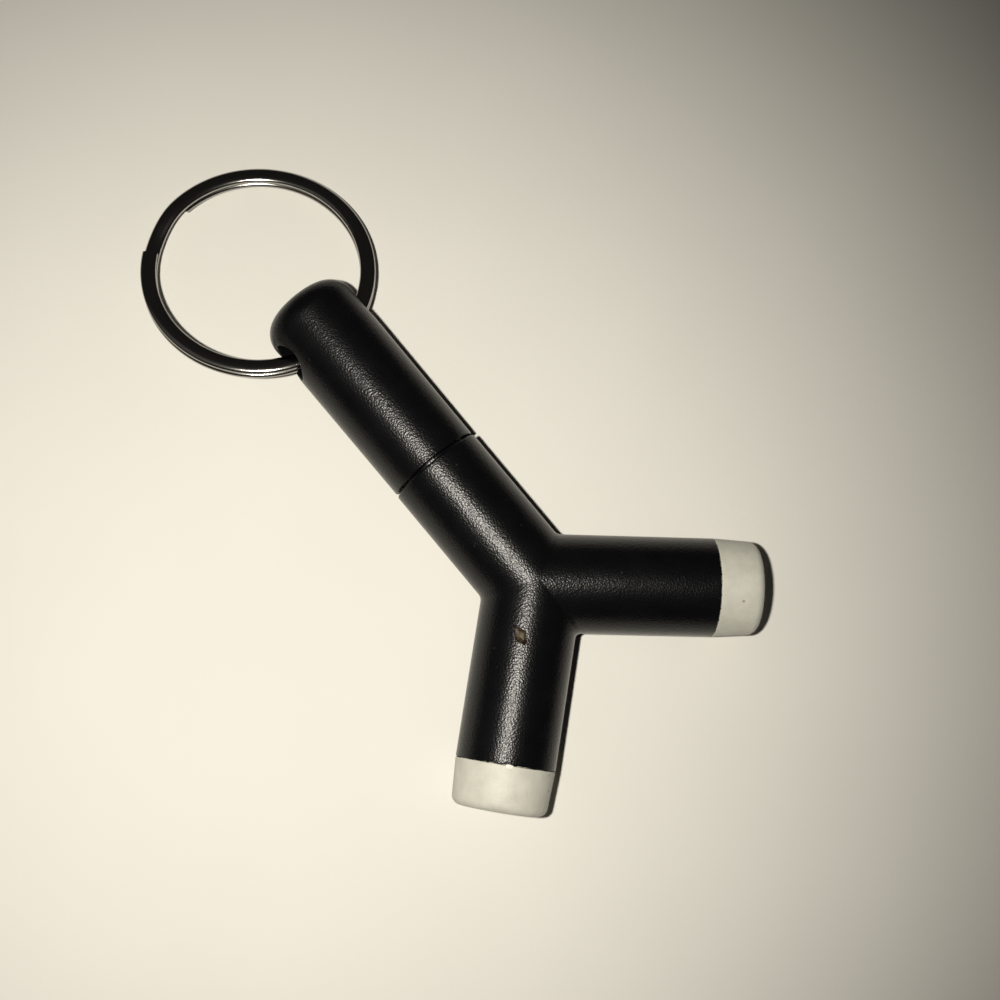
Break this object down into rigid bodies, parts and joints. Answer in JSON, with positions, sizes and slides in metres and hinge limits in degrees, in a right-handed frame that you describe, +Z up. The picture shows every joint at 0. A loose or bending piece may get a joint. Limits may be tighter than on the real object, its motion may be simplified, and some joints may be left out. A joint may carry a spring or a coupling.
{
  "type": "headphone splitter",
  "caption": "Y-shaped keyring headphone splitter: a jack plug under a pull-off cap, a socket in each arm and a split ring through the cap.",
  "frame": {"origin": "on the surface the object lies on, under the middle of its box", "axes": "+Y along the stem towards the cap and the split ring, +Z up from the surface, +X to the right of the stem"},
  "size_m": [0.0422, 0.0773, 0.0105],
  "materials": {
    "black_moulding": "spark-eroded matte, fine grain",
    "cap_moulding": "spark-eroded matte, fine grain",
    "white_plastic": "smooth off-white moulding",
    "inner_plastic": "natural brown inner moulding",
    "natural_plastic": "natural nylon",
    "insulator": "smooth insulating plastic",
    "nickel_plate": "nickel plate",
    "contact_spring": "phosphor bronze, plain",
    "solder": "soldered, dull",
    "ring_steel": "nickel-plated spring steel",
    "wire_copper": "wire insulation",
    "wire_red": "wire insulation",
    "wire_white": "wire insulation"
  },
  "bodies": {
    "body": {"y_body": "black_moulding", "inner_mould": "inner_plastic", "collar_right": "white_plastic", "collar_left": "white_plastic", "socket_housing_right": "insulator", "socket_housing_left": "insulator", "sleeve_contact_right": "nickel_plate", "sleeve_contact_left": "nickel_plate", "ring_contact_right": "contact_spring", "ring_contact_left": "contact_spring", "tip_contact_right": "contact_spring", "tip_contact_left": "contact_spring", "plug_sleeve": "nickel_plate", "plug_ring": "nickel_plate", "plug_tip": "nickel_plate", "plug_front_insulator": "insulator", "plug_rear_insulator": "insulator", "plug_base": "natural_plastic", "wire_sleeve_right": "wire_copper", "wire_sleeve_left": "wire_copper", "wire_ring_right": "wire_red", "wire_ring_left": "wire_red", "wire_tip_right": "wire_white", "wire_tip_left": "wire_white", "solder_plug": "solder", "solder_right": "solder", "solder_left": "solder"},
    "cap": {"cap": "cap_moulding"},
    "ring": {"split_ring": "ring_steel"}
  },
  "joints": [
    {"name": "cap_pull", "type": "slide", "parent": "body", "child": "cap", "axis": [0, 1, 0], "range_m": [0, 0.04]},
    {"name": "ring_swing", "type": "hinge", "parent": "cap", "child": "ring", "pos_m": [0, 0.01507, 0.00525], "axis": [0.9903, 0, -0.1392], "range_deg": [-140, 150]}
  ]
}
